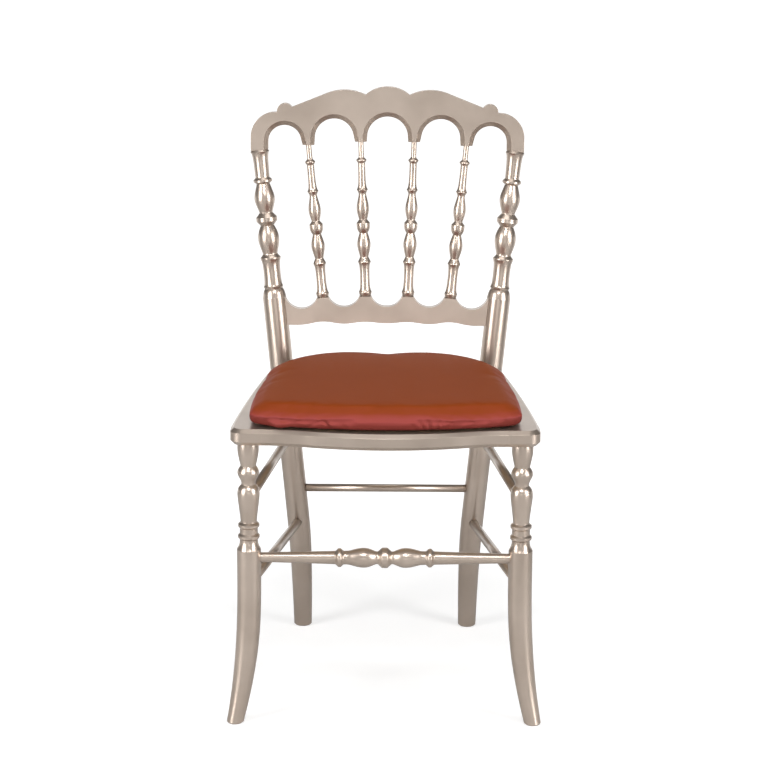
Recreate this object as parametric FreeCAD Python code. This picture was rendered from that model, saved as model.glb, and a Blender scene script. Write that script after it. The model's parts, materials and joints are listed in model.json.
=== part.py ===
import FreeCAD, Part
import math
import os

os.makedirs("parts", exist_ok=True)

# Spindle-back ballroom chair with a loose seat cushion. Sizes in millimetres.
# Part frame: +Z up, +Y towards the back, +X to the right of someone facing the chair,
# origin on the floor at the middle of the chair's bounding box.

V = FreeCAD.Vector

# Driving dimensions
HEIGHT = 890.0
DEPTH = 484.0
SEAT_WIDTH = 445.0
SEAT_REAR_WIDTH = 365.0
SEAT_TOP = 450.0
SEAT_RAIL_T = 24.0
BACK_RAKE = 4.0
POST_FAN = 5.6

# Clearances
GLUE = 0.1
SCRIBE = 0.3
SOFT_GAP = 0.3

# Turned ornament is drawn with flats, their corners a little outside the true radius
FLATS = 16
CORNER = 1.01

# Plan of the chair, from the nose of the seat back to the heels of the rear legs
NOSE_Y = -DEPTH / 2
SEAT_NOSE = 24.5
FRONT_Y = NOSE_Y + SEAT_NOSE
FRONT_LEG_X = SEAT_WIDTH / 2 - 24.5
FRONT_LEG_Y = FRONT_Y + 35.0
REAR_FOOT_R = 14.4
REAR_FOOT_X = 135.0
REAR_FOOT_Y = DEPTH / 2 - REAR_FOOT_R
SEAT_UNDER = SEAT_TOP - SEAT_RAIL_T

# Front legs: turned below the seat, then a sabre curve out and forward
LEG_TENON = 16.0
LEG_TENON_HALF = 8.0
SHOULDER_DROP = 164.0
SHOULDER_Z = SEAT_UNDER - SHOULDER_DROP
FRONT_LEG_R = 17.5
FRONT_SPLAY = 21.5
FRONT_KICK = 20.0
BEND_Z = SHOULDER_Z - 72.0
SOLE_EASE = 2.0

# Rear posts: a sabre curve up to the seat, then straight, raked and fanned
POST_R = 18.5
POST_X = SEAT_REAR_WIDTH / 2 - POST_R + 0.6
POST_Y = REAR_FOOT_Y - 53.5
BACK_Z = SEAT_TOP - 10.0
POST_TENON_R = 8.0
POST_TENON = 15.0
SHANK_LOW = 170.0
SHANK_HIGH = BACK_Z - 90.0
SHANK_R = 17.8
HIP_DROP = 26.0

# Back panel, heights measured up the raked plane from BACK_Z
CREST_T = 22.0
CREST_TOP = (HEIGHT - BACK_Z) / math.cos(math.radians(BACK_RAKE)) - 0.8
CREST_FOOT = CREST_TOP - 99.0
CREST_END_HALF = 13.4
CREST_ROLL = 7.0
RAIL_T = 20.0
RAIL_TOP = 122.5
POST_LEN = CREST_FOOT / math.cos(math.radians(POST_FAN))
POST_PLAIN = RAIL_TOP - 2.0
CREST_POST_X = POST_X + CREST_FOOT * math.tan(math.radians(POST_FAN))
DROP_RISE = 11.5
DROP_HALF = 9.2
ARCH_RISE = 0.88
SPINDLE_END = 64.25
SPINDLE_PITCH = (POST_X - SPINDLE_END) / 1.5
SPINDLE_X = SPINDLE_PITCH / 2
SPINDLE_FANS = (1.9, 5.4)
SPINDLE_LEN = CREST_FOOT + DROP_RISE - RAIL_TOP
SPINDLE_SEAT = 9.0
OUTER_DROP = 2.5
PEG = 11.0
PEG_R = 4.3

# Lengths at which the turnings of the back are drawn, before they follow its height
POST_TURNING = 233.0
SPINDLE_TURNING = 241.0

# Stretchers
FRONT_STRETCHER_Z = SHOULDER_Z - 13.0
REAR_STRETCHER_Z = FRONT_STRETCHER_Z - 2.0
UPPER_SIDE_Z = SEAT_UNDER - 89.0
LOWER_SIDE_Z = SHOULDER_Z - 54.5
LOWER_SIDE_DROP = 18.5
SIDE_R = 7.2
REAR_R = 6.2
SOCKET = 12.0

# Seat frame
FRAME_W = 46.0
FRAME_EASE = 5.5
FRONT_RAIL_HALF = SEAT_WIDTH / 2 - FRAME_W
FRONT_RAIL_BACK = FRONT_Y + 44.0
RAIL_END_Y = POST_Y - 8.0
BACK_RAIL_T = 22.0
PANEL_T = 7.0
REBATE = 10.0
TENON_T = 9.0
TENON_H = 13.0
TENON_LEN = 14.0

# Cushion
STRIP = V(80, 25, 1.5)
STRIP_X = 85.0
STRIP_Y = FRONT_Y + 170.0
BOARD_T = 9.0
PAD_CENTRE_Y = FRONT_Y + 170.0
BOARD_SCALE = 0.86


def path(points):
    """Edges through a list of points. A pair of points is the middle and the end of an
    arc, a single point the end of a straight edge."""
    here = points[0]
    edges = []
    for item in points[1:]:
        if isinstance(item, tuple):
            edges.append(Part.Arc(here, item[0], item[1]).toShape())
            here = item[1]
        else:
            edges.append(Part.LineSegment(here, item).toShape())
            here = item
    return edges


def symmetric(points):
    """Closed outline from its right half, which starts and ends on the chair's centre."""
    half = path(points)
    other = [mirrored(e) for e in half]
    return Part.Wire(Part.__sortEdges__(half + other))


def mirrored(shape):
    return shape.mirror(V(0, 0, 0), V(1, 0, 0))


def turned(steps):
    """Solid turned about Z through straight cuts from one (radius, z) to the next."""
    rings = []
    for r, z in steps:
        corners = []
        for k in range(FLATS + 1):
            angle = 2 * math.pi * (k + 0.5) / FLATS
            corners.append(V(CORNER * r * math.cos(angle), CORNER * r * math.sin(angle), z))
        rings.append(corners)
    faces = [Part.Face(Part.makePolygon(rings[0])), Part.Face(Part.makePolygon(rings[-1]))]
    for upper, lower in zip(rings, rings[1:]):
        for k in range(FLATS):
            corners = [upper[k], upper[k + 1], lower[k + 1], lower[k], upper[k]]
            faces.append(Part.Face(Part.makePolygon(corners)))
    solid = Part.Solid(Part.Shell(faces))
    if not solid.isInside(V(0, 0, (steps[0][1] + steps[1][1]) / 2), 0.001, False):
        solid.reverse()
    return solid


def ring(z, r, half, above, below, crown=0.0):
    """Steps of a turned ring at z between the radii of the necks above and below it."""
    if crown == 0.0:
        return [(above, z + half), (r, z), (below, z - half)]
    return [(above, z + half), (r, z + crown), (r, z - crown), (below, z - half)]


def stretched(steps, drawn, length):
    """Steps of a turning drawn down from z = 0, fitted to another length."""
    return [(r, z * length / drawn) for r, z in steps]


def circle(centre, normal, r):
    return Part.Wire(Part.makeCircle(r, centre, normal))


def taper(sections):
    """Solid with straight flanks through circles, each given as (centre, normal, r)."""
    return Part.makeLoft([circle(*s) for s in sections], True, True)


def rod(a, b, r):
    return Part.makeCylinder(r, (b - a).Length, a, b - a)


def box(low, high):
    size = high - low
    return Part.makeBox(size.x, size.y, size.z, low)


def block(centre, size):
    return box(centre - size * 0.5, centre + size * 0.5)


def ground_at(x, y, z):
    """Point by its distance behind the seat's front corners."""
    return V(x, FRONT_Y + y, z)


# Front legs

def front_leg_axis(z):
    """Axis of the right front leg: upright, then curving out and forward."""
    bend = max(0.0, 1.0 - z / BEND_Z) ** 2.0
    return V(FRONT_LEG_X + FRONT_SPLAY * bend, FRONT_LEG_Y - FRONT_KICK * bend, z)


def front_leg_r(z):
    return FRONT_LEG_R - 5.0 * max(0.0, 1.0 - z / (BEND_Z - 45.0)) ** 1.4


def front_leg_tenon(gap):
    centre = V(FRONT_LEG_X, FRONT_LEG_Y, SEAT_UNDER + (LEG_TENON + gap) / 2)
    side = 2 * (LEG_TENON_HALF + gap)
    return block(centre, V(side, side, LEG_TENON + gap))


def make_front_leg():
    top = SEAT_UNDER
    steps = [(15.2, top), (16.8, top - 14), (12.2, top - 34)]
    steps += [(11.4, top - 38), (16.4, top - 45), (16.4, top - 51)]
    steps += [(10.4, top - 61), (10.4, top - 66), (15.6, top - 71)]
    steps += [(16.9, top - 79), (15.6, top - 91), (11.9, top - 119)]
    steps += ring(top - 127.5, 15.7, 4.5, 12.2, 13.3, 1.8)
    steps += ring(top - 144.5, 16.0, 4.5, 13.3, 13.3, 1.8)
    steps += [(13.3, top - 156), (FRONT_LEG_R, SHOULDER_Z)]
    upper = turned(steps)
    upper.translate(V(FRONT_LEG_X, FRONT_LEG_Y, 0))
    shank = rod(front_leg_axis(BEND_Z), front_leg_axis(SHOULDER_Z), FRONT_LEG_R)
    up = V(0, 0, 1)
    sections = [(front_leg_axis(0), up, front_leg_r(0) - SOLE_EASE)]
    for share in (0.01, 0.16, 0.33, 0.53, 0.76, 1.0):
        z = max(SOLE_EASE, share * BEND_Z)
        sections.append((front_leg_axis(z), up, front_leg_r(z)))
    return upper.fuse(shank).fuse(taper(sections)).fuse(front_leg_tenon(0))


# Rear posts, turned above the seat and bent below it

def on_back(shape):
    """Move a shape from the flat drawing of the back onto the chair's raked plane."""
    shape.rotate(V(0, 0, 0), V(1, 0, 0), -BACK_RAKE)
    shape.translate(V(0, POST_Y, BACK_Z))
    return shape


def along_post(shape):
    """Move a shape from the turning axis to the right post's axis in the flat drawing."""
    shape.rotate(V(0, 0, 0), V(0, 1, 0), POST_FAN)
    shape.translate(V(POST_X, 0, 0))
    return shape


def post_direction():
    fan = math.radians(POST_FAN)
    rake = math.radians(BACK_RAKE)
    up = math.cos(fan)
    return V(math.sin(fan), up * math.sin(rake), up * math.cos(rake))


def rear_leg_point(z):
    """Point of the rear leg's axis at a height below the seat."""
    seat = V(POST_X, POST_Y, BACK_Z)
    slope = post_direction()
    hip = seat - slope * (0.235 * BACK_Z / slope.z)
    foot = V(REAR_FOOT_X, REAR_FOOT_Y, 0)
    calf = V(REAR_FOOT_X - 1, POST_Y + 5.5, 0.545 * BACK_Z)
    curve = Part.BezierCurve()
    curve.setPoles([foot, calf, hip, seat])
    low = 0.0
    high = 1.0
    for _ in range(30):
        mid = (low + high) / 2
        if curve.value(mid).z < z:
            low = mid
        else:
            high = mid
    return curve.value(mid)


def rear_leg_r(z):
    return SHANK_R - (SHANK_R - REAR_FOOT_R) * max(0.0, 1.0 - z / SHANK_LOW) ** 1.2


def make_rear_post():
    steps = [(13.2, 0), (15.3, -3.0), (12.0, -8), (11.4, -42)]
    steps += ring(-48.5, 15.0, 5.0, 11.4, 10.6, 1.5)
    steps += [(14.6, -66), (16.7, -74), (16.0, -83), (10.7, -97)]
    steps += ring(-109, 16.8, 10.0, 10.7, 10.8, 3.0)
    steps += [(17.2, -132), (17.2, -146), (11.6, -163)]
    steps += ring(-171, 16.3, 6.0, 12.0, 13.4, 1.5)
    steps += [(13.4, -212), (15.8, -215.5), (14.4, -219)]
    steps += [(17.6, -224), (POST_R, -POST_TURNING)]
    steps = stretched(steps, POST_TURNING, POST_LEN - POST_PLAIN)
    ornament = turned(steps).fuse(turned([(POST_TENON_R, POST_TENON), (POST_TENON_R, 0)]))
    ornament.translate(V(0, 0, POST_LEN))
    plain = Part.makeCylinder(POST_R, POST_PLAIN + HIP_DROP, V(0, 0, -HIP_DROP))
    upper = on_back(along_post(ornament.fuse(plain)))
    low = rear_leg_point(SHANK_LOW)
    high = rear_leg_point(SHANK_HIGH)
    shank = rod(low, high, SHANK_R)
    seat = V(POST_X, POST_Y, BACK_Z) - post_direction() * HIP_DROP
    hip = taper([(high, high - low, SHANK_R), (seat, post_direction(), POST_R)])
    up = V(0, 0, 1)
    sections = [(rear_leg_point(0), up, REAR_FOOT_R - SOLE_EASE)]
    for z in (SOLE_EASE, 40, 85, 130):
        sections.append((rear_leg_point(z), up, rear_leg_r(z)))
    sections.append((low, high - low, SHANK_R))
    return upper.fuse(hip).fuse(shank).fuse(taper(sections))


# Back panel

def plate(outline, thickness):
    solid = Part.Face(outline).extrude(V(0, thickness, 0))
    solid.translate(V(0, -thickness / 2, 0))
    return solid


def flat(x, z):
    return V(x, 0, z)


def spindle_axes():
    """Foot and fan angle of each right-hand spindle, in the flat drawing."""
    axes = []
    for i, fan in enumerate(SPINDLE_FANS):
        axes.append((flat(SPINDLE_X + i * SPINDLE_PITCH, RAIL_TOP - i * OUTER_DROP), fan))
    return axes


def make_spindle():
    """Spindle standing on its foot at the origin, with a peg at each end."""
    steps = [(PEG_R, 0), (PEG_R, -22.5)]
    steps += [(8.2, -26), (8.2, -28), (5.8, -31), (5.8, -68)]
    steps += [(9.2, -73), (6.0, -78), (6.0, -82)]
    steps += [(10.1, -98), (10.1, -107), (6.4, -120)]
    steps += [(10.8, -125), (10.8, -135), (6.6, -141)]
    steps += [(11.0, -155), (11.0, -163), (6.7, -179)]
    steps += [(10.6, -187), (7.6, -192), (7.6, -229)]
    steps += [(10.6, -234.5), (SPINDLE_SEAT, -SPINDLE_TURNING)]
    steps = stretched(steps, SPINDLE_TURNING, SPINDLE_LEN)
    steps[0] = (PEG_R, PEG)
    spindle = turned(steps).fuse(turned([(PEG_R, -SPINDLE_LEN), (PEG_R, -SPINDLE_LEN - PEG)]))
    spindle.translate(V(0, 0, SPINDLE_LEN))
    return spindle


def place_spindle(shape, axis):
    foot, fan = axis
    shape.rotate(V(0, 0, 0), V(0, 1, 0), fan)
    shape.translate(foot)
    return shape


def peg_holes():
    """Holes of all the spindles' pegs, in the crest rail and in the lower rail."""
    holes = []
    for axis in spindle_axes():
        for z in (-PEG - GLUE, SPINDLE_LEN - 12):
            top = SPINDLE_LEN + PEG + GLUE if z > 0 else 1.0
            hole = turned([(PEG_R + GLUE, top), (PEG_R + GLUE, z)])
            hole = place_spindle(hole, axis)
            holes += [hole, mirrored(hole)]
    return holes


def spindle_top_x(axis):
    foot, fan = axis
    return foot.x + SPINDLE_LEN * math.sin(math.radians(fan))


def crest_outline():
    """Right half of the crest rail: lobes and knob above, arches and drops below."""
    top = CREST_TOP
    foot = CREST_FOOT
    wide = CREST_POST_X / 199.0
    tip = CREST_END_HALF * math.tan(math.radians(POST_FAN))
    end_out = CREST_POST_X + CREST_END_HALF
    end_in = CREST_POST_X - CREST_END_HALF
    inner, outer = [spindle_top_x(axis) for axis in spindle_axes()]
    in_low = foot + DROP_RISE + 2.0
    out_low = foot + DROP_RISE - 3.5
    half = DROP_HALF
    reach = inner - half - 0.6
    middle = foot + 21.0

    def at(x, z):
        return flat(x * wide, z)

    def arch(right, left):
        return ((right + left) * 0.5 + V(0, 0, ARCH_RISE * (right.x - left.x) / 2), left)

    points = [at(0, top), (at(17.8, top - 3.0), at(34.2, top - 12.6))]
    points += [(at(61.5, top - 5.3), at(98, top - 12.0)), at(148.5, top - 32)]
    points += [(at(160.4, top - 26.2), at(171.6, top - 39.8)), at(181, top - 40.4)]
    points += [(at(202, top - 52), flat(end_out, top - 80)), flat(end_out, foot - tip)]
    points += [flat(end_in, foot + tip), flat(end_in, foot + 13)]
    points += [arch(points[-1], flat(outer + half + 3, foot + 20))]
    points += [flat(outer + half, out_low), flat(outer - half, out_low)]
    points += [flat(outer - half - 0.6, foot + 19)]
    points += [arch(points[-1], flat(inner + half + 3, foot + 27))]
    points += [flat(inner + half, in_low), flat(inner - half, in_low)]
    slant = reach * math.sin(math.pi / 4)
    points += [flat(reach, middle), (flat(slant, middle + slant), flat(0, middle + reach))]
    return points


def arch_edges(rail):
    """Front edges of the arches under the crest rail, down to the ends of the drops."""
    found = []
    for edge in rail.Edges:
        b = edge.BoundBox
        in_front = b.YMax < -CREST_T / 2 + 0.01
        level = b.ZMax - b.ZMin < 0.01
        under = CREST_FOOT + 2 < b.ZMin < CREST_FOOT + 50
        inside = max(abs(b.XMin), abs(b.XMax)) < CREST_POST_X - CREST_END_HALF + 1
        if in_front and under and inside and not level:
            found.append(edge)
    return found


def make_crest_rail():
    rail = plate(symmetric(crest_outline()), CREST_T)
    rail = rail.makeChamfer(CREST_ROLL, arch_edges(rail))
    end = POST_LEN + POST_TENON + GLUE
    tenon = turned([(POST_TENON_R + GLUE, end), (POST_TENON_R + GLUE, POST_LEN - 2)])
    tenon = along_post(tenon)
    for hole in peg_holes() + [tenon, mirrored(tenon)]:
        rail = rail.cut(hole)
    return rail


def rail_outline():
    """Right half of the lower back rail: scallops between the spindles, wavy below."""
    top = RAIL_TOP
    into = POST_X + top * math.tan(math.radians(POST_FAN))
    wide = into / 176.6
    (inner, fan_in), (outer, fan_out) = spindle_axes()
    tip_in = math.tan(math.radians(fan_in)) * (SPINDLE_SEAT + 0.4)
    tip = math.tan(math.radians(fan_out)) * (SPINDLE_SEAT + 0.4)
    seat = SPINDLE_SEAT + 0.4

    def at(x, z):
        return flat(x * wide, z)

    points = [at(0, top - 16), (at(18.0, top - 9.3), flat(inner.x - seat, top + tip_in))]
    points += [flat(inner.x + seat, top - tip_in)]
    points += [(at(67, top - 16.8), flat(outer.x - seat, outer.z + tip))]
    points += [flat(outer.x + seat, outer.z - tip)]
    points += [(at(131, top - 19.9), flat(into - 19, top - 5)), flat(into, top - 3)]
    points += [flat(into, top - 45.3), at(148, top - 45.5)]
    points += [(at(133, top - 45.2), at(117, top - 42.6))]
    points += [(at(100, top - 40.1), at(83.5, top - 41.6))]
    points += [(at(67, top - 43.2), at(50.5, top - 41.6))]
    points += [(at(34, top - 40.1), at(17, top - 41.1))]
    points += [(at(8.6, top - 41.9), at(0, top - 42.1))]
    return points


def rail_tenon(gap):
    """Tenon of the lower rail in the right post, in the flat drawing."""
    middle = RAIL_TOP - 24.0
    post = POST_X + middle * math.tan(math.radians(POST_FAN))
    size = V(TENON_LEN + 2 * gap, TENON_T + 2 * gap, 2 * TENON_H + 2 * gap)
    return block(V(post - POST_R + TENON_LEN / 2 - 3, 0, middle), size)


def make_lower_rail():
    rail = plate(symmetric(rail_outline()), RAIL_T)
    post = along_post(Part.makeCylinder(POST_R + SCRIBE, 200))
    for shape in peg_holes() + [post, mirrored(post)]:
        rail = rail.cut(shape)
    tenon = rail_tenon(0)
    return rail.fuse(tenon).fuse(mirrored(tenon)).removeSplitter()


# Stretchers

def socket_ends(a, a_r, b, b_r):
    """Ends of a rod that runs between two legs' axes and stops in their sockets."""
    run = (b - a).normalize()
    return a + run * (a_r - SOCKET), b - run * (b_r - SOCKET)


def side_stretcher_ends(z, drop):
    rear = rear_leg_point(z - drop)
    return socket_ends(front_leg_axis(z), front_leg_r(z), rear, rear_leg_r(z - drop))


def rear_stretcher_ends():
    right = rear_leg_point(REAR_STRETCHER_Z)
    r = rear_leg_r(REAR_STRETCHER_Z)
    return socket_ends(V(-right.x, right.y, right.z), r, right, r)


def front_stretcher_ends():
    right = front_leg_axis(FRONT_STRETCHER_Z)
    r = front_leg_r(FRONT_STRETCHER_Z)
    return socket_ends(V(-right.x, right.y, right.z), r, right, r)


def bore(ends, r):
    """Sockets of a rod, as one long pin."""
    run = (ends[1] - ends[0]).normalize() * GLUE
    return rod(ends[0] - run, ends[1] + run, r + GLUE)


def make_front_stretcher():
    """Turned stretcher with a bead, two bulbs and two rings about its middle."""
    end = front_stretcher_ends()[1].x
    half = [(15.3, 0), (15.3, 4), (9.5, 10), (9.5, 13), (14.8, 24), (15.1, 34)]
    half += [(12.7, 45), (10.2, 52), (10.2, 60), (14.1, 64), (14.1, 68), (9.9, 72)]
    half += [(SIDE_R, FRONT_LEG_X - FRONT_LEG_R - 4), (SIDE_R, end)]
    steps = [(r, -z) for r, z in reversed(half[1:])] + half[1:]
    middle = turned(steps)
    middle.rotate(V(0, 0, 0), V(0, 1, 0), 90)
    middle.translate(front_leg_axis(FRONT_STRETCHER_Z) - V(FRONT_LEG_X, 0, 0))
    return middle


# Seat frame

def seat_outline(z):
    """Right half of the seat's edge: bowed front with round corners, bowed side."""
    at = ground_at
    edge = SEAT_WIDTH / 2
    heel = SEAT_REAR_WIDTH / 2
    points = [at(0, -SEAT_NOSE, z), (at(51, 3 - SEAT_NOSE, z), at(102, 12 - SEAT_NOSE, z))]
    points += [(at(130, -5.2, z), at(165, -0.6, z)), at(edge - 18.5, 0, z)]
    points += [(at(edge - 5.3, 5.3, z), at(edge, 18, z)), at(edge, 40, z)]
    points += [(at(edge - 13.5, 185, z), V(heel, POST_Y - 4, z)), V(0, POST_Y - 4, z)]
    return points


def seat_slab():
    """The whole frame before it is cut into rails, its outer edge eased."""
    slab = Part.Face(symmetric(seat_outline(SEAT_UNDER))).extrude(V(0, 0, SEAT_RAIL_T))
    edges = []
    for edge in slab.Edges:
        b = edge.BoundBox
        if b.ZMax - b.ZMin < 0.01 and b.YMin < POST_Y - 5:
            edges.append(edge)
    return slab.makeChamfer(FRAME_EASE, edges)


def panel_outline(margin):
    """Right half of the seat panel's edge, let into the rails."""
    z = SEAT_TOP - PANEL_T
    front = FRONT_RAIL_BACK - REBATE - margin
    heel = SEAT_REAR_WIDTH / 2 - FRAME_W + REBATE + margin
    wide = FRONT_RAIL_HALF + REBATE + margin
    back = RAIL_END_Y - 16.0 + margin
    deep = RAIL_END_Y + REBATE - 2.0 + margin
    corner = V(heel + 2.5, back, z)
    inner = SEAT_REAR_WIDTH / 2 - FRAME_W - 3.0 + margin
    return [V(0, front, z), V(wide, front, z), corner, V(inner, back, z),
            V(inner, deep, z), V(0, deep, z)]


def make_seat_panel(margin=0.0):
    return Part.Face(symmetric(panel_outline(margin))).extrude(V(0, 0, PANEL_T))


def post_hole():
    """Round clearance about the right post at the seat."""
    return on_back(along_post(Part.makeCylinder(POST_R + SCRIBE, 80, V(0, 0, -40))))


def front_rail_tenon(gap):
    """Tenon of the front rail in the right side rail."""
    size = V(TENON_LEN + 2 * gap, 2 * TENON_H + 2 * gap, TENON_T + 2 * gap)
    middle = V(FRONT_RAIL_HALF + TENON_LEN / 2 - 1, FRONT_RAIL_BACK - 26,
               SEAT_UNDER + 2 + TENON_T / 2)
    return block(middle, size)


def side_rail_tenon(gap):
    """Tenon of the right side rail in its post."""
    size = V(TENON_T + 2 * gap, TENON_LEN + 2 * gap, TENON_H + 2 * gap)
    middle = V(POST_X - 0.5, POST_Y - POST_R + TENON_LEN / 2 - 4, SEAT_UNDER + 8.5)
    return block(middle, size)


def back_rail_tenon(gap):
    """Tenon of the back rail in the right post."""
    size = V(TENON_LEN + 2 * gap, TENON_T + 2 * gap, TENON_H + 2 * gap)
    middle = V(POST_X - POST_R + TENON_LEN / 2 - 3, RAIL_END_Y + 13.5, SEAT_UNDER + 8.5)
    return block(middle, size)


def inner_edge():
    """Points of the right side rail's inner edge, front and back."""
    return (V(FRONT_RAIL_HALF, FRONT_RAIL_BACK, SEAT_UNDER),
            V(SEAT_REAR_WIDTH / 2 - FRAME_W, RAIL_END_Y, SEAT_UNDER))


def make_side_rail():
    near, far = inner_edge()
    wide = SEAT_WIDTH / 2 + 10
    points = [V(near.x, NOSE_Y, near.z), near, far, V(wide, far.y, far.z),
              V(wide, NOSE_Y, near.z)]
    face = Part.Face(Part.makePolygon(points + [points[0]]))
    rail = seat_slab().common(face.extrude(V(0, 0, SEAT_RAIL_T)))
    rail = rail.cut(post_hole())
    rail = rail.fuse(side_rail_tenon(0))
    for shape in (make_seat_panel(GLUE), front_leg_tenon(GLUE), front_rail_tenon(GLUE)):
        rail = rail.cut(shape)
    return rail.removeSplitter()


def make_front_rail():
    low = V(-FRONT_RAIL_HALF, NOSE_Y - 5, SEAT_UNDER)
    high = V(FRONT_RAIL_HALF, FRONT_RAIL_BACK, SEAT_TOP)
    rail = seat_slab().common(box(low, high)).cut(make_seat_panel(GLUE))
    tenon = front_rail_tenon(0)
    return rail.fuse(tenon).fuse(mirrored(tenon)).removeSplitter()


def make_back_rail():
    low = V(-POST_X, RAIL_END_Y, SEAT_UNDER)
    high = V(POST_X, RAIL_END_Y + BACK_RAIL_T, SEAT_TOP)
    rail = box(low, high).cut(post_hole()).cut(mirrored(post_hole()))
    rail = rail.cut(make_seat_panel(GLUE))
    tenon = back_rail_tenon(0)
    return rail.fuse(tenon).fuse(mirrored(tenon)).removeSplitter()


# Cushion

def pad_outline(scale, z, grow=0.0):
    """Edge of the cushion at one level, scaled about the middle of the seat."""
    wide = SEAT_WIDTH / 2 - 23.0
    points = [(0, -18), (95, -11.4), (178, 8), (193.5, 16.5), (wide, 36)]
    points += [(wide - 2.5, 135), (wide - 13, 228), (152, 326), (0, 364)]
    places = []
    for x, y in points:
        from_middle = V(x, y - 170, 0) * scale
        places.append(V(from_middle.x, PAD_CENTRE_Y + from_middle.y, z))
    half = [places[0]]
    for k in range(1, len(places), 2):
        half.append((places[k], places[k + 1]))
    return symmetric(half)


def make_board(margin=0.0):
    """Plywood board inside the cushion, or the pocket that holds it."""
    z = SEAT_TOP + 2 * STRIP.z
    outline = pad_outline(BOARD_SCALE + margin / 180.0, z)
    return Part.Face(outline).extrude(V(0, 0, BOARD_T + margin))


def make_pad():
    """Foam pad in its cover: drawn-in foot, full sides, rounded shoulders."""
    foot = SEAT_TOP + 2 * STRIP.z + SOFT_GAP
    levels = [(0.965, foot), (1.0, foot + 14), (0.97, foot + 26), (0.87, foot + 34)]
    sections = [pad_outline(scale, z) for scale, z in levels]
    return Part.makeLoft(sections, True, True).cut(make_board(SOFT_GAP))


def make_strips(z):
    strips = []
    for x in (-STRIP_X, STRIP_X):
        strips.append(block(V(x, STRIP_Y, z + STRIP.z / 2), STRIP))
    return Part.makeCompound(strips)


# Assembly

def save(name, shape):
    shape.exportStep("parts/" + name + ".step")


def save_pair(name, right):
    save(name + "_right", right)
    save(name + "_left", mirrored(right))


front_rod = front_stretcher_ends()
rear_rod = rear_stretcher_ends()
upper_rod = side_stretcher_ends(UPPER_SIDE_Z, 0)
lower_rod = side_stretcher_ends(LOWER_SIDE_Z, LOWER_SIDE_DROP)

front_leg = make_front_leg()
for pin in (bore(front_rod, SIDE_R), bore(upper_rod, SIDE_R), bore(lower_rod, SIDE_R)):
    front_leg = front_leg.cut(pin)
rear_post = make_rear_post()
for pin in (bore(rear_rod, REAR_R), bore(upper_rod, SIDE_R), bore(lower_rod, SIDE_R)):
    rear_post = rear_post.cut(pin)
for tenon in (on_back(rail_tenon(GLUE)), side_rail_tenon(GLUE), back_rail_tenon(GLUE)):
    rear_post = rear_post.cut(tenon)

save_pair("front_leg", front_leg)
save_pair("rear_post", rear_post)
save("crest_rail", on_back(make_crest_rail()))
save("lower_back_rail", on_back(make_lower_rail()))
for name, axis in zip(("spindle_inner", "spindle_outer"), spindle_axes()):
    save_pair(name, on_back(place_spindle(make_spindle(), axis)))

save("front_stretcher", make_front_stretcher())
save("rear_stretcher", rod(rear_rod[0], rear_rod[1], REAR_R))
save_pair("side_stretcher_upper", rod(upper_rod[0], upper_rod[1], SIDE_R))
save_pair("side_stretcher_lower", rod(lower_rod[0], lower_rod[1], SIDE_R))

save("seat_front_rail", make_front_rail())
save_pair("seat_side_rail", make_side_rail())
save("seat_back_rail", make_back_rail())
save("seat_panel", make_seat_panel())

save("hook_strips", make_strips(SEAT_TOP))
save("loop_strips", make_strips(SEAT_TOP + STRIP.z))
save("cushion_board", make_board())
save("cushion_pad", make_pad())
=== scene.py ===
import json
import math

import bpy
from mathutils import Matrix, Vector, noise


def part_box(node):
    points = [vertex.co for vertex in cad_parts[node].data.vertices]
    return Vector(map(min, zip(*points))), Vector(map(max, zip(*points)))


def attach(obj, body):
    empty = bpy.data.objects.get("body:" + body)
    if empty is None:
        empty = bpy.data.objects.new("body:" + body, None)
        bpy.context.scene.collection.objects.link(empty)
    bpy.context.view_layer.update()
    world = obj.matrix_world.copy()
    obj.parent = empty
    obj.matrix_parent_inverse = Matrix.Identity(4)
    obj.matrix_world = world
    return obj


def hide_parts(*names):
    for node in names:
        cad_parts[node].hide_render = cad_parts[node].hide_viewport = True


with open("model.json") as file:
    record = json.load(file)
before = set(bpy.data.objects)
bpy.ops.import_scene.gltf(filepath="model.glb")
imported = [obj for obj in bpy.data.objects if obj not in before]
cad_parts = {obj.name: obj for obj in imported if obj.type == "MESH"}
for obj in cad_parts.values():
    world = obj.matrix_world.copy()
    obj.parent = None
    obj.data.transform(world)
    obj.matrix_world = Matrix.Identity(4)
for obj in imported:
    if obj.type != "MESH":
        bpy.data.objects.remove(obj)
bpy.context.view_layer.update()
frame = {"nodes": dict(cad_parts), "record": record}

# Looks of the spindle-back ballroom chair. Metres, in the part's frame.

TURNED = ("front_leg", "rear_post", "spindle_inner", "spindle_outer")
RODS = ("side_stretcher_upper", "side_stretcher_lower")
SIDES = ("_left", "_right")

# Edge rounding, in metres: beads, sawn rails, moulded seat rails and the plain back rail
NICK_WIDTH = 0.0008
RAIL_ROUND = 0.0042
SEAT_ROUND = 0.0030
BACK_ROUND = 0.0015
WELD_REACH = 0.00002
SAME_PLANE = math.radians(0.5)

# Brightness of the studio in front and at the sides, where white is 1, and how far its
# front and its white back reach, as the Y of a direction
ROOM_LIGHT = 0.50
SIDE_LIGHT = 0.08
ROOM_FADE = (0.0, -0.5)
BACK_FADE = (0.78, 0.95)

# Floor: its size and its gap under the feet, its own white near the chair and the
# distances over which that rises to 1
FLOOR_SIZE = 80.0
FLOOR_GAP = 0.0005
FLOOR_GREY = 0.50
FLOOR_LIFT = 0.62
LIFT_FADE = (0.3, 1.6)

# What reflections show of the floor's white: all of it behind the chair, as a Y, and a
# little of it round the chair, as a distance
SHEET_FADE = (0.6, 1.6)
GLOW_FADE = (1.1, 0.7)
GLOW = 0.12

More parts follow.
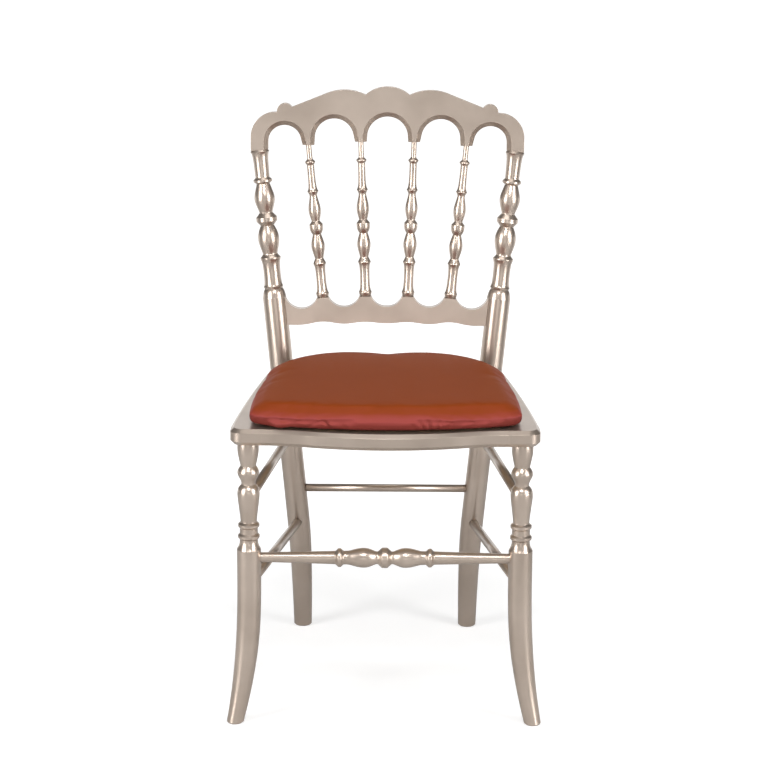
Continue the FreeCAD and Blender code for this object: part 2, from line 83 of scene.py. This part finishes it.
# Camera, as fitted to the photograph: a long lens, standing height, looking down a little
CAMERA_AT = Vector((0.0062, -3.5175, 1.3424))
CAMERA_PITCH = 0.2472
CAMERA_ROLL = 0.006
CAMERA_LENS = 110.6
CAMERA_SENSOR = 36.0


def srgb(r, g, b):
    """Linear colour from the 0-255 values seen on a screen."""
    linear = []
    for value in (r, g, b):
        v = value / 255
        linear.append(v / 12.92 if v <= 0.04045 else ((v + 0.055) / 1.055) ** 2.4)
    return (*linear, 1.0)


# Materials

def new_material(name):
    """A material with its node tree and its main shader."""
    material = bpy.data.materials.new(name)
    material.use_nodes = True
    tree = material.node_tree
    shader = tree.nodes["Principled BSDF"]
    return material, tree, shader


def object_noise(tree, scale, detail=2.0, stretch=(1, 1, 1)):
    """Noise in object space, its factor between 0 and 1."""
    where = tree.nodes.new("ShaderNodeTexCoord")
    mapping = tree.nodes.new("ShaderNodeMapping")
    mapping.inputs["Scale"].default_value = stretch
    texture = tree.nodes.new("ShaderNodeTexNoise")
    texture.inputs["Scale"].default_value = scale
    texture.inputs["Detail"].default_value = detail
    tree.links.new(where.outputs["Object"], mapping.inputs["Vector"])
    tree.links.new(mapping.outputs["Vector"], texture.inputs["Vector"])
    return texture.outputs["Fac"]


def ramp(tree, factor, stops):
    """Colour ramp over a factor. Each stop is (position, colour)."""
    node = tree.nodes.new("ShaderNodeValToRGB")
    elements = node.color_ramp.elements
    for k, (position, colour) in enumerate(stops):
        element = elements[k] if k < 2 else elements.new(position)
        element.position = position
        element.color = colour
    tree.links.new(factor, node.inputs["Fac"])
    return node.outputs["Color"]


def bump(tree, shader, height, strength, distance):
    """Relief of the surface from a height between 0 and 1."""
    node = tree.nodes.new("ShaderNodeBump")
    node.inputs["Strength"].default_value = strength
    node.inputs["Distance"].default_value = distance
    tree.links.new(height, node.inputs["Height"])
    tree.links.new(node.outputs["Normal"], shader.inputs["Normal"])


def paint_material():
    """Champagne metallic paint, sprayed on wood: fine flake and a soft unevenness."""
    material, tree, shader = new_material("champagne paint")
    cloudy = object_noise(tree, 14.0, 3.0)
    colour = ramp(tree, cloudy, [(0.3, srgb(178, 163, 150)), (0.7, srgb(194, 179, 166))])
    tree.links.new(colour, shader.inputs["Base Color"])
    shader.inputs["Metallic"].default_value = 0.85
    shader.inputs["Roughness"].default_value = 0.30
    shader.inputs["Coat Weight"].default_value = 0.2
    shader.inputs["Coat Roughness"].default_value = 0.15
    bump(tree, shader, object_noise(tree, 900.0, 2.0), 0.06, 0.0004)
    return material


def plywood_material():
    """Birch plywood, its grain drawn out along X."""
    material, tree, shader = new_material("birch plywood")
    grain = object_noise(tree, 22.0, 6.0, (1.0, 9.0, 9.0))
    colour = ramp(tree, grain, [(0.3, srgb(196, 166, 126)), (0.7, srgb(216, 190, 152))])
    tree.links.new(colour, shader.inputs["Base Color"])
    shader.inputs["Roughness"].default_value = 0.65
    return material


def tape_material():
    """Black hook and loop tape with a fine pile."""
    material, tree, shader = new_material("hook and loop tape")
    pile = object_noise(tree, 2600.0, 1.0)
    colour = ramp(tree, pile, [(0.35, srgb(22, 22, 24)), (0.65, srgb(52, 52, 56))])
    tree.links.new(colour, shader.inputs["Base Color"])
    shader.inputs["Roughness"].default_value = 0.95
    bump(tree, shader, pile, 0.6, 0.0006)
    return material


def satin_material():
    """Red satin shot with orange. Its colour follows how each face points: orange on top for
    the shot weave, a lighter pink where the front rolls upward as a painted sheen, and darker
    where the cover stands upright or faces down as painted shade.
    """
    material, tree, shader = new_material("red shot satin, painted shade and sheen")
    where = tree.nodes.new("ShaderNodeNewGeometry")
    split = tree.nodes.new("ShaderNodeSeparateXYZ")
    tree.links.new(where.outputs["Normal"], split.inputs["Vector"])
    # Colour by facing: painted shade on upright and downward faces, a painted sheen where the
    # front rolls up, and the shot weave's orange on top
    colour = ramp(tree, split.outputs["Z"],
                  [(0.00, srgb(106, 44, 38)), (0.35, srgb(134, 60, 56)),
                   (0.72, srgb(126, 54, 38)), (0.97, srgb(124, 54, 14))])
    mottle = object_noise(tree, 30.0, 4.0)
    mix = tree.nodes.new("ShaderNodeMix")
    mix.data_type = "RGBA"
    mix.blend_type = "MULTIPLY"
    mix.inputs["Factor"].default_value = 0.25
    shade = ramp(tree, mottle, [(0.3, (0.86, 0.84, 0.84, 1)), (0.7, (1, 1, 1, 1))])
    tree.links.new(colour, mix.inputs["A"])
    tree.links.new(shade, mix.inputs["B"])
    tree.links.new(mix.outputs["Result"], shader.inputs["Base Color"])
    shader.inputs["Roughness"].default_value = 0.48
    shader.inputs["Specular IOR Level"].default_value = 0.04
    shader.inputs["Sheen Weight"].default_value = 0.01
    shader.inputs["Sheen Roughness"].default_value = 0.4
    shader.inputs["Sheen Tint"].default_value = srgb(220, 130, 110)
    bump(tree, shader, object_noise(tree, 1500.0, 1.0, (1.0, 6.0, 1.0)), 0.10, 0.0003)
    return material


# Modifiers that round the straight-cut solids

def joined(node):
    """Start of a CAD node's modifiers: its faces joined along their edges."""
    piece = frame["nodes"][node]
    for polygon in piece.data.polygons:
        polygon.use_smooth = True
    weld = piece.modifiers.new("joined faces", "WELD")
    weld.merge_threshold = WELD_REACH
    return piece


def bevel(piece, width, segments, angle):
    """Round the edges that turn by more than an angle."""
    rounding = piece.modifiers.new("soft edges", "BEVEL")
    rounding.width = width
    rounding.segments = segments
    rounding.limit_method = "ANGLE"
    rounding.angle_limit = math.radians(angle)
    rounding.use_clamp_overlap = True


def soften(node, width, segments, angle):
    """Round a sawn piece's edges for the eye and keep its faces flat."""
    piece = joined(node)
    bevel(piece, width, segments, angle)
    piece.modifiers.new("flat faces", "WEIGHTED_NORMAL")


def lathe(node):
    """Turn a piece's flats into round beads and necks, with crisp nicks between them."""
    piece = joined(node)
    planar = piece.modifiers.new("whole flats", "DECIMATE")
    planar.decimate_type = "DISSOLVE"
    planar.angle_limit = SAME_PLANE
    bevel(piece, NICK_WIDTH, 2, 38)
    rounded = piece.modifiers.new("turned", "SUBSURF")
    rounded.levels = 2
    rounded.render_levels = 2


def dress_frame():
    """Finish the CAD nodes by their material slots, round the edges of the turned pieces and
    rails, and smooth the stretchers.
    """
    paint = paint_material()
    plywood = plywood_material()
    tape = tape_material()
    finishes = {"painted_frame": paint, "plywood": plywood, "fastening_tape": tape}
    for part in frame["record"]["subparts"]:
        node = frame["nodes"][part["node"]]
        if part["material_slot"] in finishes:
            node.data.materials.clear()
            node.data.materials.append(finishes[part["material_slot"]])
    for name in TURNED:
        for side in SIDES:
            lathe(name + side)
    lathe("front_stretcher")
    for name in ("crest_rail", "lower_back_rail"):
        soften(name, RAIL_ROUND, 5, 30)
    for name in ("seat_front_rail", "seat_side_rail_left", "seat_side_rail_right"):
        soften(name, SEAT_ROUND, 4, 30)
    soften("seat_back_rail", BACK_ROUND, 2, 30)
    for name in RODS:
        for side in SIDES:
            joined(name + side)
    joined("rear_stretcher")


# Cushion. Its cover starts as the CAD pad, and the values below shape it

PAD_LOW, PAD_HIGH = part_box("cushion_pad")
FOOT_Z = PAD_LOW.z
TOP_Z = PAD_HIGH.z

# About the pad's half width, half depth and front, and the middle of the crown
HALF_X = 0.200
HALF_Y = 0.200
FRONT_Y = -0.236
MIDDLE_Y = FRONT_Y + HALF_Y
CROWN_Y = -0.040

# Remesh and cloth simulation, the most that the cloth may move a point, and where that
# move sets in: by height over the base, and by how far a point faces up
VOXEL = 0.006
FRAMES = 20
PRESSURE = 4.0
SWELL = 0.0045
SWELL_RISE = (0.003, 0.014)
SWELL_FACING = (-0.7, -0.2)

# Crown: its fall at the sides, its share lengthwise and its limit, and the heights over
# the base and under the top between which it sets in
CROWN = 0.0040
CROWN_LENGTHWISE = 0.6
CROWN_MOST = 1.2
CROWN_OVER_BASE = 0.010
CROWN_UNDER_TOP = 0.004

# Growth of the cover in plan, how far its base is drawn in and its top stands proud
GROWTH = 1.012
DRAWN_IN = 0.002
PROUD = 0.0005

# Creases drawn in at the front hem: x at the hem, lean of the crease as it rises, its
# height, its half width and its depth. Each has a ridge beside it
CREASES = ((-0.074, -0.016, 0.015, 0.0022, 0.0030), (-0.066, -0.014, 0.010, 0.0016, 0.0014),
           (-0.052, -0.010, 0.010, 0.0018, 0.0016), (-0.118, 0.020, 0.009, 0.0030, 0.0018),
           (0.048, -0.012, 0.012, 0.0018, 0.0016), (0.057, -0.009, 0.016, 0.0018, 0.0026),
           (0.066, -0.006, 0.018, 0.0020, 0.0030), (0.074, 0.005, 0.016, 0.0018, 0.0022),
           (0.083, 0.010, 0.010, 0.0018, 0.0014))
RIDGE = 0.6
RIDGE_OFF = 1.9

# The gathering works on faces that stand upright, within reach of the front
UPRIGHT = (0.15, 0.5)
FRONT_REACH = (0.075, 0.040)

# Long fold across the front
FOLD_MIDDLE = -0.01
FOLD_ENDS = (0.165, 0.130)
FOLD_RISE = 0.0135
FOLD_WAVE = 0.0025
FOLD_CURVE = 24
FOLD_HALF = 0.0022
FOLD_DEPTH = 0.0009

# Loose unevenness below the fold
LOOSE_ACROSS = 26
LOOSE_UP = 60
LOOSE_RISE = (0.024, 0.012)
LOOSE_DEPTH = 0.0007

# Corner of the cover tucked under at the left of the front hem
TUCK_X = -0.152
TUCK_HALF = 0.013
TUCK_RISE = (0.012, 0.004)
TUCK = Vector((0, -0.0030, -0.0022))


def apply_modifiers(piece):
    """Keep the shape that the modifiers give, and drop them."""
    graph = bpy.context.evaluated_depsgraph_get()
    shaped = bpy.data.meshes.new_from_object(piece.evaluated_get(graph))
    piece.modifiers.clear()
    piece.data = shaped


def cushion_from_cad():
    """A copy of the CAD pad, remeshed evenly, as the start of the cushion."""
    source = frame["nodes"]["cushion_pad"]
    cushion = bpy.data.objects.new("cushion_cover", source.data.copy())
    bpy.context.scene.collection.objects.link(cushion)
    remesh = cushion.modifiers.new("even", "REMESH")
    remesh.mode = "VOXEL"
    remesh.voxel_size = VOXEL
    apply_modifiers(cushion)
    return cushion


def step(low, high, value):
    """0 at one level and 1 at another, smooth between. Low may be the greater."""
    t = min(1.0, max(0.0, (value - low) / (high - low)))
    return t * t * (3 - 2 * t)


def swell(cushion):
    """Blow the cover up with cloth pressure. The base stays flat round its board."""
    start = [vertex.co.copy() for vertex in cushion.data.vertices]
    lift = [vertex.normal.z for vertex in cushion.data.vertices]
    cloth = cushion.modifiers.new("cloth", "CLOTH")
    cloth.settings.quality = 5
    cloth.settings.mass = 0.3
    cloth.settings.use_pressure = True
    cloth.settings.uniform_pressure_force = PRESSURE
    cloth.settings.effector_weights.gravity = 0.0
    cloth.point_cache.frame_start = 1
    cloth.point_cache.frame_end = FRAMES
    for moment in range(1, FRAMES + 1):
        bpy.context.scene.frame_set(moment)
    apply_modifiers(cushion)
    for vertex, at, up in zip(cushion.data.vertices, start, lift):
        move = vertex.co - at
        if move.length > SWELL:
            move *= SWELL / move.length
        vertex.co = at + move * step(*SWELL_RISE, at.z - FOOT_Z) * step(*SWELL_FACING, up)
    bpy.context.scene.frame_set(1)


def crown(cushion):
    """Let the top fall a little towards its edges, and draw the sides in."""
    for vertex in cushion.data.vertices:
        at = vertex.co
        high = step(FOOT_Z + CROWN_OVER_BASE, TOP_Z - CROWN_UNDER_TOP, at.z)
        across = at.x / HALF_X
        along = (at.y - CROWN_Y) / HALF_Y
        fall = min(CROWN_MOST, across * across + CROWN_LENGTHWISE * along * along)
        at.z -= high * CROWN * fall
        at.x = at.x * GROWTH - (1 - high) * DRAWN_IN * across
        at.y = MIDDLE_Y + (at.y - MIDDLE_Y) * GROWTH
    top = max(vertex.co.z for vertex in cushion.data.vertices)
    for vertex in cushion.data.vertices:
        high = (vertex.co.z - FOOT_Z) / (top - FOOT_Z)
        vertex.co.z += (TOP_Z + PROUD - top) * max(0.0, high)


def crease_depth(x, rise):
    """Depth of the creases at a place of the front hem, with their ridges."""
    depth = 0.0
    for hem, lean, height, half, deep in CREASES:
        off = (x - hem - lean * rise / height) / half
        lasting = step(height * 1.25, height * 0.4, rise)
        ridge = RIDGE * math.exp(-(off - RIDGE_OFF) ** 2)
        depth += deep * lasting * (math.exp(-off * off) - ridge)
    return depth


def fold_depth(x, rise):
    """Depth of the long fold across the front, ending before the corners."""
    off = (rise - FOLD_RISE - FOLD_WAVE * math.cos(x * FOLD_CURVE)) / FOLD_HALF
    inside = step(*FOLD_ENDS, abs(x - FOLD_MIDDLE))
    return FOLD_DEPTH * inside * math.exp(-off * off)


def gather(cushion):
    """Creases and a tucked corner where the cover is drawn round the board."""
    normals = [vertex.normal.copy() for vertex in cushion.data.vertices]
    for vertex, out in zip(cushion.data.vertices, normals):
        at = vertex.co.copy()
        rise = at.z - FOOT_Z
        at_front = step(*FRONT_REACH, at.y - FRONT_Y)
        side = step(*UPRIGHT, math.hypot(out.x, out.y)) * at_front
        loose = noise.noise(Vector((at.x * LOOSE_ACROSS, at.y * LOOSE_ACROSS, rise * LOOSE_UP)))
        depth = crease_depth(at.x, rise) + fold_depth(at.x, rise)
        depth += LOOSE_DEPTH * loose * step(*LOOSE_RISE, rise)
        vertex.co = at - Vector((out.x, out.y, 0)) * depth * side
        near = math.exp(-((at.x - TUCK_X) / TUCK_HALF) ** 2) * step(*TUCK_RISE, rise)
        vertex.co += TUCK * near * side


def make_cushion():
    """The satin cover over its stuffing, in place of the CAD pad."""
    cushion = cushion_from_cad()
    swell(cushion)
    crown(cushion)
    finer = cushion.modifiers.new("finer", "SUBSURF")
    finer.levels = 1
    finer.render_levels = 1
    apply_modifiers(cushion)
    gather(cushion)
    cushion.data.materials.clear()
    cushion.data.materials.append(satin_material())
    for polygon in cushion.data.polygons:
        polygon.use_smooth = True
    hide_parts("cushion_pad")
    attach(cushion, "cushion")


# Stage

def fade(tree, value, low, high):
    """0 at one value and 1 at another, smooth between. Low may be the greater."""
    node = tree.nodes.new("ShaderNodeMapRange")
    node.interpolation_type = "SMOOTHSTEP"
    node.inputs["From Min"].default_value = low
    node.inputs["From Max"].default_value = high
    tree.links.new(value, node.inputs["Value"])
    return node.outputs["Result"]


def math_node(tree, operation, *values):
    """One operation on sockets and plain numbers."""
    node = tree.nodes.new("ShaderNodeMath")
    node.operation = operation
    for socket, value in zip(node.inputs, values):
        if isinstance(value, float):
            socket.default_value = value
        else:
            tree.links.new(value, socket)
    return node.outputs[0]


def seen_white(tree, backdrop):
    """1 for what the camera or glass shows, and for what a gloss shows of the backdrop."""
    path = tree.nodes.new("ShaderNodeLightPath")
    through = math_node(tree, "MAXIMUM", path.outputs["Is Camera Ray"],
                        path.outputs["Is Transmission Ray"])
    gloss = math_node(tree, "MULTIPLY", path.outputs["Is Glossy Ray"], backdrop)
    return math_node(tree, "MAXIMUM", through, gloss)


def stage_material():
    """Pale floor that shows white and keeps the chair's shadow. Reflections show it white
    behind the chair, faintly white round it, and plain in front."""
    material, tree, shader = new_material("pale floor")
    shader.inputs["Base Color"].default_value = (FLOOR_GREY, FLOOR_GREY, FLOOR_GREY, 1)
    shader.inputs["Roughness"].default_value = 1.0
    shader.inputs["Specular IOR Level"].default_value = 0.0
    where = tree.nodes.new("ShaderNodeTexCoord")
    distance = tree.nodes.new("ShaderNodeVectorMath")
    distance.operation = "LENGTH"
    split = tree.nodes.new("ShaderNodeSeparateXYZ")
    tree.links.new(where.outputs["Object"], distance.inputs[0])
    tree.links.new(where.outputs["Object"], split.inputs["Vector"])
    away = fade(tree, distance.outputs["Value"], *LIFT_FADE)
    near = math_node(tree, "MULTIPLY", fade(tree, distance.outputs["Value"], *GLOW_FADE), GLOW)
    sheet = math_node(tree, "MAXIMUM", fade(tree, split.outputs["Y"], *SHEET_FADE), near)
    lift = math_node(tree, "MULTIPLY_ADD", away, 1.0 - FLOOR_LIFT, FLOOR_LIFT)
    shown = math_node(tree, "MULTIPLY", lift, seen_white(tree, sheet))
    white = tree.nodes.new("ShaderNodeEmission")
    both = tree.nodes.new("ShaderNodeAddShader")
    tree.links.new(shown, white.inputs["Strength"])
    tree.links.new(shader.outputs["BSDF"], both.inputs[0])
    tree.links.new(white.outputs["Emission"], both.inputs[1])
    tree.links.new(both.outputs["Shader"], tree.nodes["Material Output"].inputs["Surface"])
    return material


def make_floor():
    """A wide floor just under the feet."""
    bpy.ops.mesh.primitive_plane_add(size=FLOOR_SIZE, location=(0, 0, -FLOOR_GAP))
    floor = bpy.context.object
    floor.name = "floor"
    floor.data.materials.append(stage_material())


def area_light(name, at, target, size, power):
    """A soft box that the camera doesn't see, facing a target."""
    data = bpy.data.lights.new(name, "AREA")
    data.shape = "RECTANGLE"
    data.size = size[0]
    data.size_y = size[1]
    data.energy = power
    light = bpy.data.objects.new(name, data)
    light.location = at
    light.rotation_euler = (Vector(target) - Vector(at)).to_track_quat("-Z", "Y").to_euler()
    light.visible_camera = False
    bpy.context.scene.collection.objects.link(light)


def make_lights():
    """Soft boxes at both sides and in front, and one overhead."""
    area_light("left box", (-1.9, -1.4, 1.05), (0, 0, 0.6), (0.85, 1.9), 46)
    area_light("right box", (1.9, -1.4, 1.05), (0, 0, 0.6), (0.85, 1.9), 46)
    area_light("front top", (0.0, -1.9, 2.4), (0, 0, 0.45), (0.7, 0.5), 26)
    area_light("low front", (0.0, -3.3, 0.42), (0, 0, 0.7), (1.5, 0.45), 5)
    area_light("overhead", (0.0, 0.2, 2.8), (0, 0, 0.45), (1.4, 1.4), 16)


def make_world():
    """Studio: a grey room in front, darker to the sides, and white behind the chair,
    where the picture and reflections show it."""
    world = bpy.data.worlds.new("studio")
    bpy.context.scene.world = world
    world.use_nodes = True
    tree = world.node_tree
    background = tree.nodes["Background"]
    background.inputs["Color"].default_value = (1, 1, 1, 1)
    where = tree.nodes.new("ShaderNodeTexCoord")
    split = tree.nodes.new("ShaderNodeSeparateXYZ")
    tree.links.new(where.outputs["Generated"], split.inputs["Vector"])
    front = fade(tree, split.outputs["Y"], *ROOM_FADE)
    behind = fade(tree, split.outputs["Y"], *BACK_FADE)
    room = tree.nodes.new("ShaderNodeMapRange")
    room.inputs["To Min"].default_value = SIDE_LIGHT
    room.inputs["To Max"].default_value = ROOM_LIGHT
    tree.links.new(front, room.inputs["Value"])
    level = math_node(tree, "MAXIMUM", room.outputs["Result"], seen_white(tree, behind))
    tree.links.new(level, background.inputs["Strength"])


def make_camera():
    """The camera at the photograph's viewing angle."""
    data = bpy.data.cameras.new("camera")
    data.lens = CAMERA_LENS
    data.sensor_width = CAMERA_SENSOR
    camera = bpy.data.objects.new("camera", data)
    camera.location = CAMERA_AT
    camera.rotation_euler = (math.pi / 2 - CAMERA_PITCH, 0, 0)
    camera.rotation_euler.rotate_axis("Z", CAMERA_ROLL)
    bpy.context.scene.collection.objects.link(camera)
    bpy.context.scene.camera = camera
    bpy.context.scene.view_settings.view_transform = "Standard"


dress_frame()
make_cushion()
make_floor()
make_lights()
make_world()
make_camera()
